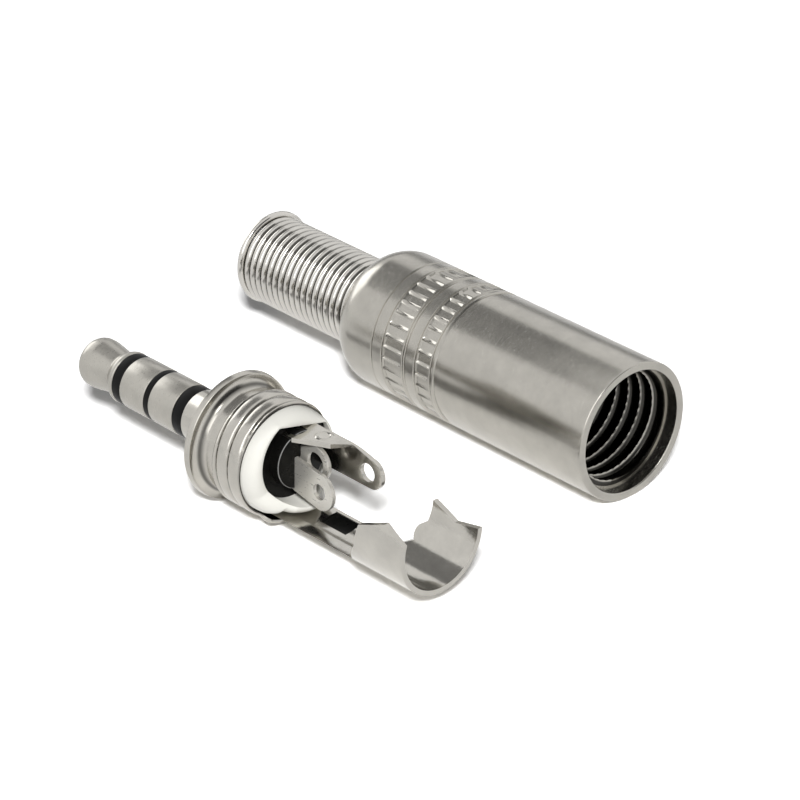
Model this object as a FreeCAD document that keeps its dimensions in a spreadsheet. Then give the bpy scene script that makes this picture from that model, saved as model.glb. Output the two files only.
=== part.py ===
import FreeCAD, Part
import Sketcher
import math
import os
import re

# Four-pole 3.5 mm jack plug with its cover unscrewed and laid beside it.
# The origin is the centre of the flange's front face, on the axis of the pin.
# The pin points along -X and the solder lugs and the clamp lie along +X.
# The cover lies beside the plug along +Y, with its threaded mouth towards +X.

SIZES = (
    # pin, from its tip to the flange
    ("pin_radius", 1.75),
    ("tip_width", 3.95),
    ("nose_offset", 1.35),
    ("nose_radius", 1.63),
    ("nose_rounding", 1.2),
    ("neck_offset", 0.85),
    ("neck_radius", 1.38),
    ("neck_rounding", 0.35),
    ("flare_offset", 0.35),
    ("band_1_width", 0.8),
    ("ring_1_width", 2.3),
    ("band_2_width", 0.5),
    ("ring_2_width", 2.3),
    ("band_3_width", 0.9),
    ("sleeve_width", 3.25),
    # conductors nested in one another
    ("rod_radius", 0.45),
    ("film_wall", 0.15),
    ("tube_wall", 0.2),
    ("tube_step", 0.35),
    # flange and threaded boss
    ("flange_overlap", 0.17),
    ("flange_width", 0.45),
    ("flange_slope", 0.08),
    ("undercut_depth", 0.42),
    ("undercut_width", 1.5),
    ("undercut_fillet", 0.75),
    ("thread_radius", 3.82),
    ("thread_length", 2.8),
    ("thread_lead_in", 0.2),
    ("boss_wall", 0.47),
    ("seat_floor", 0.35),
    # insulators in the boss; a share is a part of the white shell's bore radius
    ("shell_wall", 0.35),
    ("shell_end", 6.0),
    ("flat_share", 0.887),
    ("shell_tilt", 12.7),
    ("floor_share", 0.767),
    ("tongue_share", 0.517),
    ("tongue_length", 1.3),
    ("filler_end", 5.35),
    ("core_share", 0.617),
    ("core_end", 5.8),
    # solder lugs
    ("lug_thickness", 0.3),
    ("upper_plate_share", 0.783),
    ("upper_blade_share", 0.667),
    ("upper_lug_edge", 0.7),
    ("upper_lug_fold", 0.45),
    ("upper_lug_bottom", 0.22),
    ("upper_lug_end_radius", 1.0),
    ("upper_lug_centre", 10.55),
    ("upper_lug_corner", 8.2),
    ("upper_lug_corner_side", 0.5),
    ("upper_lug_plate_end", 8.9),
    ("upper_lug_root_width", 1.2),
    ("upper_eye_radius", 0.62),
    ("middle_lug_side", 0.3),
    ("middle_lug_centre", 7.2),
    ("middle_lug_height", 0.75),
    ("middle_lug_radius", 1.2),
    ("middle_strap_share", 0.784),
    ("middle_lug_strap_bottom", 0.1),
    ("middle_eye_radius", 0.72),
    ("lower_lug_side", 0.2),
    ("lower_lug_centre", 8.1),
    ("lower_lug_height", 0.7),
    ("lower_lug_radius", 1.25),
    ("lower_lug_strap_top", 0.84),
    ("lower_strap_share", 0.81),
    ("lower_lug_root_bottom", 1.0),
    ("lower_eye_radius", 0.52),
    # cable clamp
    ("strip_angle", 62.0),
    ("clamp_end", 18.6),
    ("wing_start", 13.1),
    ("wing_angle", 250.0),
    ("window_start", 7.8),
    ("window_length", 2.3),
    ("window_near", 0.05),
    ("window_share", 0.875),
    # edges of the wings, by their distance behind the wings' start and over or under the axis
    ("near_shoulder", 1.35),
    ("near_shoulder_drop", 0.6),
    ("near_corner", 1.65),
    ("near_corner_height", 0.9),
    ("near_peak", 3.6),
    ("near_peak_height", 1.6),
    ("near_rear_height", 0.95),
    ("far_notch", 1.1),
    ("far_notch_drop", 2.3),
    ("far_nub_radius", 0.45),
    ("far_nub_top", 0.95),
    ("far_nub_drop", 1.5),
    ("far_throat", 1.4),
    ("far_throat_drop", 1.2),
    ("far_horn", 1.6),
    ("far_horn_height", 0.25),
    ("far_valley", 3.5),
    ("far_valley_drop", 0.5),
    ("far_rear_drop", 0.1),
    # cover
    ("cover_wall", 0.77),
    ("cover_length", 23.2),
    ("cover_mouth", 16.86),
    ("cover_side", 18.09),
    ("roll", 3.75),
    ("dome_rim", 0.2),
    ("dome_length", 2.2),
    ("dome_rounding", 2.3),
    ("score_start", 4.1),
    ("score_width", 0.3),
    ("groove_depth", 0.13),
    ("knurl_1_start", 5.3),
    ("knurl_1_width", 1.8),
    ("groove_2_width", 0.3),
    ("groove_3_start", 9.9),
    ("groove_3_width", 0.7),
    ("mouth_step", 0.2),
    ("mouth_depth", 1.0),
    ("thread_clearance", 0.08),
    ("inner_thread_length", 5.5),
    ("bore_clearance", 0.25),
    ("cover_neck_length", 1.2),
    # spring in the rear neck of the cover
    ("spring_room", 0.82),
    ("wire_radius", 0.265),
    ("wire_half_side", 0.235),
    ("spring_pitch", 0.56),
    ("spring_turns", 21),
    ("spring_clearance", 0.055),
    ("shoulder_clearance", 0.1),
    ("inner_flare", 0.32),
    ("outer_flare", 0.18),
)

# Sizes worked out from others, so that pieces which fit together change together.
DERIVED = {
    # radii of the nested conductors and the films between them
    "film_1": "rod_radius + film_wall",
    "tube_1": "film_1 + tube_wall",
    "film_2": "tube_1 + film_wall",
    "tube_2": "film_2 + tube_wall",
    "film_3": "tube_2 + film_wall",
    # where the bands and rings of the pin begin
    "sleeve_front": "-sleeve_width",
    "band_3_front": "sleeve_front - band_3_width",
    "ring_2_front": "band_3_front - ring_2_width",
    "band_2_front": "ring_2_front - band_2_width",
    "ring_1_front": "band_2_front - ring_1_width",
    "band_1_front": "ring_1_front - band_1_width",
    "tip_front": "band_1_front - tip_width",
    # boss
    "thread_start": "flange_width + undercut_width",
    "thread_end": "thread_start + thread_length",
    "undercut_radius": "thread_radius - undercut_depth",
    "seat_radius": "thread_radius - boss_wall",
    "seat_start": "thread_start + seat_floor",
    "boss_reach": "2 * seat_radius",
    # where the conductors and films end in the core, each inner one a step further back
    "tube_2_end": "seat_start + tube_step",
    "film_2_end": "tube_2_end + tube_step",
    "tube_1_end": "film_2_end + tube_step",
    "film_1_end": "tube_1_end + tube_step",
    "rod_end": "film_1_end + tube_step",
    # insulators
    "shell_bore": "seat_radius - shell_wall",
    "flat_reach": "acos(flat_share)",
    "flat_centre": "90 deg - shell_tilt * 1 deg",
    "floor_depth": "shell_bore * floor_share",
    "tongue_half_width": "shell_bore * tongue_share",
    "core_radius": "shell_bore * core_share",
    "floor_reach": "sqrt(shell_bore^2 - floor_depth^2)",
    "tongue_side": "sqrt(shell_bore^2 - tongue_half_width^2)",
    "tongue_end": "shell_end + tongue_length",
    # solder lugs
    "upper_lug_top": "shell_bore * upper_plate_share",
    "upper_lug_side": "shell_bore * upper_blade_share",
    "upper_inner": "upper_lug_side - lug_thickness",
    "upper_under": "upper_lug_top - lug_thickness",
    "upper_fold_side": "upper_lug_side - upper_lug_fold",
    "upper_fold_top": "upper_lug_top - upper_lug_fold",
    "upper_fold_end": "upper_lug_plate_end - 2 * lug_thickness",
    "upper_far_end": "upper_lug_centre + boss_reach",
    "upper_eye_height": "upper_lug_end_radius - upper_lug_bottom",
    "upper_blade_top": "upper_eye_height + upper_lug_end_radius",
    "upper_root_bottom": "film_2 + tube_wall / 10",
    "middle_root_bottom": "film_1 + tube_wall / 10",
    "middle_root_end": "rod_end + lug_thickness",
    "middle_lug_strap_top": "core_radius * middle_strap_share",
    "lower_lug_strap_bottom": "core_radius * lower_strap_share",
    # cable clamp
    "strip_edge_depth": "seat_radius * cos(strip_angle / 2)",
    "window_width": "shell_bore * sin(strip_angle / 2) * window_share",
    # cover and spring
    "inner_thread_radius": "thread_radius + thread_clearance",
    "mouth_radius": "inner_thread_radius + mouth_step",
    "flange_radius": "mouth_radius + flange_overlap",
    "cover_radius": "inner_thread_radius + cover_wall",
    "bore_radius": "seat_radius + bore_clearance",
    "spring_radius": "bore_radius - spring_room",
    "cover_neck_radius": "spring_radius + wire_radius + spring_clearance",
    "dome_face_radius": "cover_neck_radius + dome_rim",
    "groove_floor": "cover_radius - groove_depth",
    "groove_2_start": "knurl_1_start + knurl_1_width",
    "groove_2_end": "groove_2_start + groove_2_width",
    "groove_3_end": "groove_3_start + groove_3_width",
    "inner_thread_end": "cover_length - mouth_depth",
    "inner_thread_start": "inner_thread_end - inner_thread_length",
    "cover_rear": "cover_mouth - cover_length",
    "cover_height": "cover_radius - flange_radius",
    "coil_length": "spring_turns * spring_pitch",
}

doc = FreeCAD.newDocument("jack_plug")
sheet = doc.addObject("Spreadsheet::Sheet", "sizes")
for row, (alias, number) in enumerate(SIZES, start=1):
    sheet.set("A%d" % row, alias)
    sheet.set("B%d" % row, str(number))
    sheet.setAlias("B%d" % row, alias)
doc.recompute()
ALIASES = {alias for alias, number in SIZES}


def linked(text):
    """Expression in which each size name refers to its cell or to what it is worked out from."""
    def refer(match):
        word = match.group()
        if word in DERIVED:
            return "(" + linked(DERIVED[word]) + ")"
        return "sizes." + word if word in ALIASES else word
    return re.sub(r"[a-z][a-z_0-9]*", refer, text)


def value(text):
    return float(sheet.evalExpression(linked(text)))


def bind(item, **properties):
    """Bind properties of an object to expressions; double underscores stand for dots."""
    for name, text in properties.items():
        item.setExpression(name.replace("__", "."), linked(text))


def origin_feature(body, role):
    return next(part for part in body.Origin.OriginFeatures if part.Role == role)


def new_body(label):
    body = doc.addObject("PartDesign::Body", label)
    body.Label = label
    return body


def arc_between(start, end, radius, side):
    """Minor arc with its centre on the left or right of the way from start to end."""
    chord = end.sub(start)
    turn = 1 if side == "left" else -1
    away = math.sqrt(radius ** 2 - chord.Length ** 2 / 4)
    normal = FreeCAD.Vector(-chord.y, chord.x, 0).normalize()
    centre = (start + end) * 0.5 + normal * (turn * away)
    angles = [math.atan2(point.y - centre.y, point.x - centre.x) for point in (start, end)]
    circle = Part.Circle(centre, FreeCAD.Vector(0, 0, 1), radius)
    return Part.ArcOfCircle(circle, *angles[::turn])


def outline(body, name, plane, points, arcs=None):
    """Closed sketch through the points; arcs gives the side and radius of curved edges."""
    arcs = arcs or {}
    sketch = body.newObject("Sketcher::SketchObject", name)
    sketch.AttachmentSupport = (origin_feature(body, plane), "")
    sketch.MapMode = "FlatFace"
    corners = [FreeCAD.Vector(value(x), value(y), 0) for x, y in points]
    ends = []
    for index, start in enumerate(corners):
        end = corners[(index + 1) % len(corners)]
        side, radius = arcs.get(index, ("straight", None))
        if side == "straight":
            sketch.addGeometry(Part.LineSegment(start, end))
        else:
            sketch.addGeometry(arc_between(start, end, value(radius), side))
            limit = sketch.addConstraint(Sketcher.Constraint("Radius", index, value(radius)))
            sketch.setExpression("Constraints[%d]" % limit, linked(radius))
        ends.append((2, 1) if side == "right" else (1, 2))
    for index, (first, last) in enumerate(ends):
        following = (index + 1) % len(ends)
        join = ("Coincident", index, last, following, ends[following][0])
        sketch.addConstraint(Sketcher.Constraint(*join))
    for index, (x, y) in enumerate(points):
        for kind, text in (("DistanceX", x), ("DistanceY", y)):
            rule = Sketcher.Constraint(kind, -1, 1, index, ends[index][0], value(text))
            limit = sketch.addConstraint(rule)
            sketch.setExpression("Constraints[%d]" % limit, linked(text))
    return sketch


def disc(body, name, plane, x, y, radius):
    """Sketch of one circle."""
    sketch = body.newObject("Sketcher::SketchObject", name)
    sketch.AttachmentSupport = (origin_feature(body, plane), "")
    sketch.MapMode = "FlatFace"
    centre = FreeCAD.Vector(value(x), value(y), 0)
    sketch.addGeometry(Part.Circle(centre, FreeCAD.Vector(0, 0, 1), value(radius)))
    rules = (
        (Sketcher.Constraint("DistanceX", -1, 1, 0, 3, value(x)), x),
        (Sketcher.Constraint("DistanceY", -1, 1, 0, 3, value(y)), y),
        (Sketcher.Constraint("Radius", 0, value(radius)), radius),
    )
    for rule, text in rules:
        limit = sketch.addConstraint(rule)
        sketch.setExpression("Constraints[%d]" % limit, linked(text))
    return sketch


def turn(body, kind, name, sketch, angle="360"):
    """Revolution or Groove about the body's X axis, half of the angle to each side."""
    feature = body.newObject("PartDesign::" + kind, name)
    feature.Profile = sketch
    feature.ReferenceAxis = (origin_feature(body, "X_Axis"), [""])
    feature.Midplane = angle != "360"
    bind(feature, Angle=angle)
    return feature


def pad(body, name, sketch, length, both_sides=False):
    feature = body.newObject("PartDesign::Pad", name)
    feature.Profile = sketch
    feature.Midplane = both_sides
    bind(feature, Length=length)
    return feature


def cut_through(body, name, sketch, sides):
    """Pocket through everything: 'both' sides of the sketch, 'front' or 'back'."""
    feature = body.newObject("PartDesign::Pocket", name)
    feature.Profile = sketch
    feature.Type = 1
    feature.Midplane = sides == "both"
    feature.Reversed = sides == "front"
    return feature


def round_edges(body, name, radius, place, size):
    """Fillet on the circular edge at the given distance along X and radius."""
    doc.recompute()
    base = body.Tip
    names = [
        "Edge%d" % number
        for number, edge in enumerate(base.Shape.Edges, start=1)
        if isinstance(edge.Curve, Part.Circle)
        and abs(edge.Curve.Radius - value(size)) < 1e-4
        and abs(edge.Curve.Center.x - value(place)) < 1e-4
    ]
    feature = body.newObject("PartDesign::Fillet", name)
    feature.Base = (base, names)
    bind(feature, Radius=radius)
    return feature


def turned(label, points, arcs=None):
    """Body turned about the X axis from a profile of (distance along X, radius)."""
    body = new_body(label)
    turn(body, "Revolution", label + "_turning", outline(body, label + "_profile", "XY_Plane", points, arcs))
    return body


def roll_over(body):
    """Roll a round piece about its own axis, as it lies on the surface."""
    body.Placement.Rotation = FreeCAD.Rotation(FreeCAD.Vector(1, 0, 0), 1)
    bind(body, Placement__Rotation__Angle="roll")


tip = turned("tip_contact", (
    ("tip_front", "0"),
    ("tip_front", "nose_radius"),
    ("tip_front + nose_offset", "nose_radius"),
    ("band_1_front - neck_offset", "neck_radius"),
    ("band_1_front - flare_offset", "pin_radius"),
    ("band_1_front", "pin_radius"),
    ("band_1_front", "rod_radius"),
    ("rod_end", "rod_radius"),
    ("rod_end", "0"),
))
round_edges(tip, "nose", "nose_rounding", "tip_front", "nose_radius")
round_edges(tip, "neck", "neck_rounding", "band_1_front - neck_offset", "neck_radius")


def nested(label, front, rear, inner, outer, end):
    """Band of the pin with the tube that runs back from it to its end."""
    return turned(label, (
        (front, inner),
        (front, "pin_radius"),
        (rear, "pin_radius"),
        (rear, outer),
        (end, outer),
        (end, inner),
    ))


stack = [
    tip,
    nested("band_1_insulator", "band_1_front", "ring_1_front", "rod_radius", "film_1", "film_1_end"),
    nested("ring_1_contact", "ring_1_front", "band_2_front", "film_1", "tube_1", "tube_1_end"),
    nested("band_2_insulator", "band_2_front", "ring_2_front", "tube_1", "film_2", "film_2_end"),
    nested("ring_2_contact", "ring_2_front", "band_3_front", "film_2", "tube_2", "tube_2_end"),
    nested("band_3_insulator", "band_3_front", "sleeve_front", "tube_2", "film_3", "seat_start"),
]

sleeve = turned(
    "sleeve_body",
    (
        ("sleeve_front", "film_3"),
        ("sleeve_front", "pin_radius"),
        ("0", "pin_radius"),
        ("0", "flange_radius"),
        ("flange_width", "flange_radius - flange_slope"),
        ("flange_width", "undercut_radius + undercut_fillet"),
        ("flange_width + undercut_fillet", "undercut_radius"),
        ("thread_start", "undercut_radius"),
        ("thread_start", "thread_radius"),
        ("thread_end - thread_lead_in", "thread_radius"),
        ("thread_end", "thread_radius - thread_lead_in"),
        ("thread_end", "seat_radius"),
        ("seat_start", "seat_radius"),
        ("seat_start", "film_3"),
    ),
    {5: ("left", "undercut_fillet")},
)
roll_over(sleeve)

# White shell: a tube flattened inside its top and bottom, with a tongue at the bottom.
shell = new_body("white_insulator")
pad(shell, "shell_round", disc(shell, "shell_circle", "YZ_Plane", "0", "0", "seat_radius"),
    "shell_end")
hollow = outline(
    shell, "shell_hollow", "YZ_Plane",
    (
        ("shell_bore * cos(flat_centre - flat_reach)", "shell_bore * sin(flat_centre - flat_reach)"),
        ("shell_bore * cos(flat_centre + flat_reach)", "shell_bore * sin(flat_centre + flat_reach)"),
        ("-shell_bore", "0"),
        ("-floor_reach", "-floor_depth"),
        ("floor_reach", "-floor_depth"),
        ("shell_bore", "0"),
    ),
    {side: ("left", "shell_bore") for side in (1, 2, 4, 5)},
)
cut_through(shell, "shell_opening", hollow, "both")
tongue = outline(
    shell, "tongue_section", "YZ_Plane",
    (
        ("-tongue_half_width", "-floor_depth"),
        ("-tongue_half_width", "-tongue_side"),
        ("tongue_half_width", "-tongue_side"),
        ("tongue_half_width", "-floor_depth"),
    ),
    {1: ("left", "shell_bore")},
)
pad(shell, "tongue", tongue, "tongue_end")
seat_front = outline(shell, "seat_front", "XZ_Plane", (
    ("-seat_start", "-boss_reach"),
    ("seat_start", "-boss_reach"),
    ("seat_start", "boss_reach"),
    ("-seat_start", "boss_reach"),
))
cut_through(shell, "seat_face", seat_front, "both")
channel = outline(shell, "strip_channel", "XZ_Plane", (
    ("seat_start - shell_wall", "-shell_bore"),
    ("tongue_end + shell_wall", "-shell_bore"),
    ("tongue_end + shell_wall", "-boss_reach"),
    ("seat_start - shell_wall", "-boss_reach"),
))
turn(shell, "Groove", "channel", channel, "strip_angle")

# Upper lug: a flat plate folded down into a blade, with a root that reaches its tube.
upper = new_body("upper_lug")
fold = outline(
    upper, "fold_section", "YZ_Plane",
    (
        ("-upper_lug_edge", "upper_lug_top"),
        ("-upper_lug_edge", "upper_under"),
        ("upper_fold_side", "upper_under"),
        ("upper_inner", "upper_fold_top"),
        ("upper_inner", "-upper_lug_bottom"),
        ("upper_lug_side", "-upper_lug_bottom"),
        ("upper_lug_side", "upper_fold_top"),
        ("upper_fold_side", "upper_lug_top"),
    ),
    {2: ("right", "upper_lug_fold - lug_thickness"), 6: ("left", "upper_lug_fold")},
)
pad(upper, "folded_plate", fold, "upper_lug_centre + 2 * upper_lug_end_radius")
root = outline(upper, "root_section", "YZ_Plane", (
    ("-upper_lug_root_width / 2", "upper_lug_top"),
    ("-upper_lug_root_width / 2", "upper_root_bottom"),
    ("upper_lug_root_width / 2", "upper_root_bottom"),
    ("upper_lug_root_width / 2", "upper_lug_top"),
))
pad(upper, "root", root, "tube_2_end + lug_thickness")
before_root = outline(upper, "before_root", "XZ_Plane", (
    ("-seat_start", "-boss_reach"),
    ("tube_2_end", "-boss_reach"),
    ("tube_2_end", "boss_reach"),
    ("-seat_start", "boss_reach"),
))
cut_through(upper, "root_face", before_root, "both")
plan = outline(upper, "plate_trim", "XY_Plane", (
    ("shell_end", "-boss_reach"),
    ("upper_far_end", "-boss_reach"),
    ("upper_far_end", "upper_inner"),
    ("upper_lug_plate_end", "upper_inner"),
    ("upper_lug_corner", "upper_lug_corner_side"),
    ("shell_end", "-upper_lug_edge"),
))
cut_through(upper, "plate_edge", plan, "both")
side = outline(
    upper, "blade_trim", "XZ_Plane",
    (
        ("upper_fold_end", "upper_lug_top"),
        ("upper_lug_centre", "upper_blade_top"),
        ("upper_lug_centre + upper_lug_end_radius", "upper_eye_height"),
        ("upper_lug_centre", "-upper_lug_bottom"),
        ("upper_lug_centre", "-seat_radius"),
        ("upper_far_end", "-seat_radius"),
        ("upper_far_end", "boss_reach"),
        ("upper_fold_end", "boss_reach"),
    ),
    {1: ("right", "upper_lug_end_radius"), 2: ("right", "upper_lug_end_radius")},
)
cut_through(upper, "blade_end", side, "both")
eye = disc(upper, "upper_eye", "XZ_Plane", "upper_lug_centre - lug_thickness", "upper_eye_height",
           "upper_eye_radius")
cut_through(upper, "upper_hole", eye, "both")


def leaf(label, side_expression, lower_corners, upper_corners, centre, height):
    """Flat upright lug with a round pierced end; the corners are those of its strap."""
    body = new_body(label)
    radius = label + "_radius"
    corners = (
        *lower_corners,
        (centre, height + " - " + radius),
        (centre + " + " + radius, height),
        (centre, height + " + " + radius),
        *upper_corners,
    )
    first = len(lower_corners)
    bend = {first: ("left", radius), first + 1: ("left", radius)}
    pad(body, label + "_plate", outline(body, label + "_outline", "XZ_Plane", corners, bend),
        "lug_thickness", both_sides=True)
    eye_radius = label.replace("lug", "eye") + "_radius"
    hole = disc(body, label + "_eye", "XZ_Plane", centre, height, eye_radius)
    cut_through(body, label + "_hole", hole, "both")
    bind(body, Placement__Base__y=side_expression)
    return body


middle = leaf(
    "middle_lug", "middle_lug_side",
    (
        ("tube_1_end", "middle_root_bottom"),
        ("middle_root_end", "middle_root_bottom"),
        ("middle_root_end", "middle_lug_strap_bottom"),
        ("core_end", "middle_lug_strap_bottom"),
    ),
    (
        ("core_end", "middle_lug_strap_top"),
        ("tube_1_end", "middle_lug_strap_top"),
    ),
    "middle_lug_centre", "middle_lug_height",
)
lower = leaf(
    "lower_lug", "-lower_lug_side",
    (
        ("rod_end", "-lower_lug_root_bottom"),
        ("core_end", "-lower_lug_strap_bottom"),
    ),
    (
        ("core_end", "lower_lug_strap_top"),
        ("rod_end", "lower_lug_strap_top"),
    ),
    "lower_lug_centre", "-lower_lug_height",
)


def cylinder(name, start, end, radius):
    """Plain cylinder on the X axis."""
    item = doc.addObject("Part::Cylinder", name)
    bind(item, Radius=radius, Height=end + " - " + start, Placement__Base__x=start)
    item.Placement.Rotation = FreeCAD.Rotation(FreeCAD.Vector(0, 1, 0), 90)
    return item


def moulded(label, blank, inserts):
    """Plastic moulded round its inserts."""
    tools = doc.addObject("Part::MultiFuse", label + "_inserts")
    tools.Shapes = inserts
    item = doc.addObject("Part::Cut", label)
    item.Label = label
    item.Base = blank
    item.Tool = tools
    item.Refine = True
    return item


core_blank = cylinder("core_blank", "seat_start", "core_end", "core_radius")
filler_blank = cylinder("filler_blank", "seat_start", "filler_end", "shell_bore")
core = moulded("core_insulator", core_blank, stack + [upper, middle, lower])
filler = moulded("filler_insulator", filler_blank, [shell, core_blank, upper])

# Cable clamp: a trough strip from the boss that widens into two wings.
clamp = new_body("cable_clamp")
for name, start, angle in (("strip", "seat_start", "strip_angle"), ("wings", "wing_start", "wing_angle")):
    section = outline(clamp, name + "_section", "XZ_Plane", (
        (start, "-seat_radius"),
        ("clamp_end", "-seat_radius"),
        ("clamp_end", "-shell_bore"),
        (start, "-shell_bore"),
    ))
    turn(clamp, "Revolution", name, section, angle)
over_wings = (
    ("clamp_end + seat_radius", "boss_reach"),
    ("thread_end", "boss_reach"),
    ("thread_end", "-strip_edge_depth"),
)
near_trim = outline(clamp, "near_trim", "XZ_Plane", (
    ("wing_start", "-strip_edge_depth"),
    ("wing_start + near_shoulder", "-near_shoulder_drop"),
    ("wing_start + near_corner", "near_corner_height"),
    ("wing_start + near_peak", "near_peak_height"),
    ("clamp_end", "near_rear_height"),
    ("clamp_end + seat_radius", "near_rear_height"),
    *over_wings,
))
cut_through(clamp, "near_wing_edge", near_trim, "front")
far_trim = outline(
    clamp, "far_trim", "XZ_Plane",
    (
        ("wing_start", "-strip_edge_depth"),
        ("wing_start + far_notch", "-far_notch_drop"),
        ("wing_start + far_nub_top", "-far_nub_drop"),
        ("wing_start + far_throat", "-far_throat_drop"),
        ("wing_start + far_horn", "far_horn_height"),
        ("wing_start + far_valley", "-far_valley_drop"),
        ("clamp_end", "-far_rear_drop"),
        ("clamp_end + seat_radius", "-far_rear_drop"),
        *over_wings,
    ),
    {1: ("right", "far_nub_radius")},
)
cut_through(clamp, "far_wing_edge", far_trim, "back")
window = outline(clamp, "window_outline", "XY_Plane", (
    ("window_start", "window_near"),
    ("window_start + window_length", "window_near"),
    ("window_start + window_length", "window_near + window_width"),
    ("window_start", "window_near + window_width"),
))
cut_through(clamp, "window", window, "both")

# Cover, from its domed rear end to its mouth.
cover = turned(
    "cover",
    (
        ("0", "cover_neck_radius"),
        ("0", "dome_face_radius"),
        ("dome_length", "cover_radius"),
        ("score_start", "cover_radius"),
        ("score_start + score_width / 2", "groove_floor"),
        ("score_start + score_width", "cover_radius"),
        ("groove_2_start", "cover_radius"),
        ("groove_2_start", "groove_floor"),
        ("groove_2_end", "groove_floor"),
        ("groove_2_end", "cover_radius"),
        ("groove_3_start", "cover_radius"),
        ("groove_3_start", "groove_floor"),
        ("groove_3_end", "groove_floor"),
        ("groove_3_end", "cover_radius"),
        ("cover_length", "cover_radius"),
        ("cover_length", "mouth_radius"),
        ("inner_thread_end", "mouth_radius"),
        ("inner_thread_end", "inner_thread_radius"),
        ("inner_thread_start", "inner_thread_radius"),
        ("inner_thread_start", "bore_radius"),
        ("cover_neck_length", "bore_radius"),
        ("cover_neck_length", "cover_neck_radius"),
    ),
    {1: ("right", "dome_rounding")},
)
roll_over(cover)
bind(cover, Placement__Base__x="cover_rear", Placement__Base__y="cover_side",
     Placement__Base__z="cover_height")

# Spring: an even coil with a wider coil at each end; the inner one stays in the cover.
spring = new_body("bend_relief_spring")


def wire_section(name, place):
    """Square cross-section of the wire at the coil's radius, with about the round wire's area."""
    corners = [
        (place + along + "wire_half_side", "spring_radius" + across + "wire_half_side")
        for along, across in ((" - ", " - "), (" + ", " - "), (" + ", " + "), (" - ", " + "))
    ]
    return outline(spring, name, "XY_Plane", corners)


def coil(name, sketch, turns, growth="0", backwards=False):
    feature = spring.newObject("PartDesign::AdditiveHelix", name)
    feature.Profile = sketch
    feature.ReferenceAxis = (origin_feature(spring, "X_Axis"), [""])
    feature.Mode = 3
    feature.Reversed = backwards
    feature.LeftHanded = backwards
    bind(feature, Turns=turns, Height=turns + " * spring_pitch", Growth=growth)
    return feature


coil("even_coil", wire_section("wire_start", "0"), "spring_turns")
coil("inner_coil", wire_section("wire_end", "coil_length"), "1", "inner_flare")
coil("outer_coil", wire_section("wire_free_end", "0"), "1", "outer_flare", backwards=True)
bind(
    spring,
    Placement__Base__x="cover_rear + cover_neck_length + wire_radius + shoulder_clearance - coil_length",
    Placement__Base__y="cover_side",
    Placement__Base__z="cover_height",
)

doc.recompute()
for item in doc.Objects:
    if "Invalid" in item.State or "Error" in item.State:
        raise RuntimeError(item.Name + " failed: " + ", ".join(item.State))

parts = stack + [sleeve, shell, filler, core, upper, middle, lower, clamp, cover, spring]
for item in parts:
    if item.Shape.isNull() or not item.Shape.isValid():
        raise RuntimeError(item.Label + " has no valid shape")
    if len(item.Shape.Solids) != 1:
        raise RuntimeError(item.Label + " is not one solid")
os.makedirs("parts", exist_ok=True)
for item in parts:
    item.Shape.exportStep("parts/" + item.Label + ".step")
    print(item.Label, round(item.Shape.Volume, 3))
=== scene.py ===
import math

import bmesh
import bpy
import numpy as np
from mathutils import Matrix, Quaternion, Vector


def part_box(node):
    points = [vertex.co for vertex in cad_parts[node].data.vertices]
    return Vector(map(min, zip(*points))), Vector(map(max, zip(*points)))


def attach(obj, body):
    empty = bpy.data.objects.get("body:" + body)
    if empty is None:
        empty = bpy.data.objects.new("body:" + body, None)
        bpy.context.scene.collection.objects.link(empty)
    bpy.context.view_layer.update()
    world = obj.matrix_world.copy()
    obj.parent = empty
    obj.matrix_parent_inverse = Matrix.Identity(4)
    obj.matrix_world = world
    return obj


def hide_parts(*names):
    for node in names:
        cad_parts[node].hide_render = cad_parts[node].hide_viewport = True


# Looks of a four-pole jack plug and its unscrewed cover. Sizes are in millimetres until a mesh
# is made, and the frame is the model's: the pin along -X, the cover beside it along +Y.

MM = 0.001

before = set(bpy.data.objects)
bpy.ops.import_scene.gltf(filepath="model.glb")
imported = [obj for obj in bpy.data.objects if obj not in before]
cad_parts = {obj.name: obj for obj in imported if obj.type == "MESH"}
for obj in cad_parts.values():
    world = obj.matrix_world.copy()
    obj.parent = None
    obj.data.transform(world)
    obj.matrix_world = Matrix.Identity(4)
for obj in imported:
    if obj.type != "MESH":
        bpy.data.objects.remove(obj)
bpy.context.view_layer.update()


def extent(node):
    """Lowest and highest corner of a node, in millimetres."""
    low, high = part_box(node)
    return Vector(low) / MM, Vector(high) / MM


# Places and radii that the model gives.
TIP_LOW, _ = extent("tip_contact")
SLEEVE_LOW, SLEEVE_HIGH = extent("sleeve_body")
COVER_LOW, COVER_HIGH = extent("cover")
SPRING_LOW, SPRING_HIGH = extent("bend_relief_spring")
FLANGE_RADIUS = (SLEEVE_HIGH.z - SLEEVE_LOW.z) / 2
COVER_RADIUS = (COVER_HIGH.z - COVER_LOW.z) / 2
COVER_AXIS = ((COVER_LOW.y + COVER_HIGH.y) / 2, (COVER_LOW.z + COVER_HIGH.z) / 2)
PLUG_AXIS = (0.0, 0.0)
FLOOR = COVER_LOW.z

# Pin.
PIN_RADIUS = 1.75
BAND_RELIEF = 0.02
RING_1_FRONT = extent("ring_1_contact")[0].x
RING_2_FRONT = extent("ring_2_contact")[0].x
BAND_1_FRONT = extent("band_1_insulator")[0].x
BAND_2_FRONT = extent("band_2_insulator")[0].x
BAND_3_FRONT = extent("band_3_insulator")[0].x
SLEEVE_FRONT = SLEEVE_LOW.x
PIN_CORE = 1.0

# Boss: flange and undercut.
FLANGE_WIDTH = 0.45
FLANGE_SLOPE = 0.08
UNDERCUT_RADIUS = 3.4
UNDERCUT_FILLET = 0.75
UNDERCUT_LAND = 0.15

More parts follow.
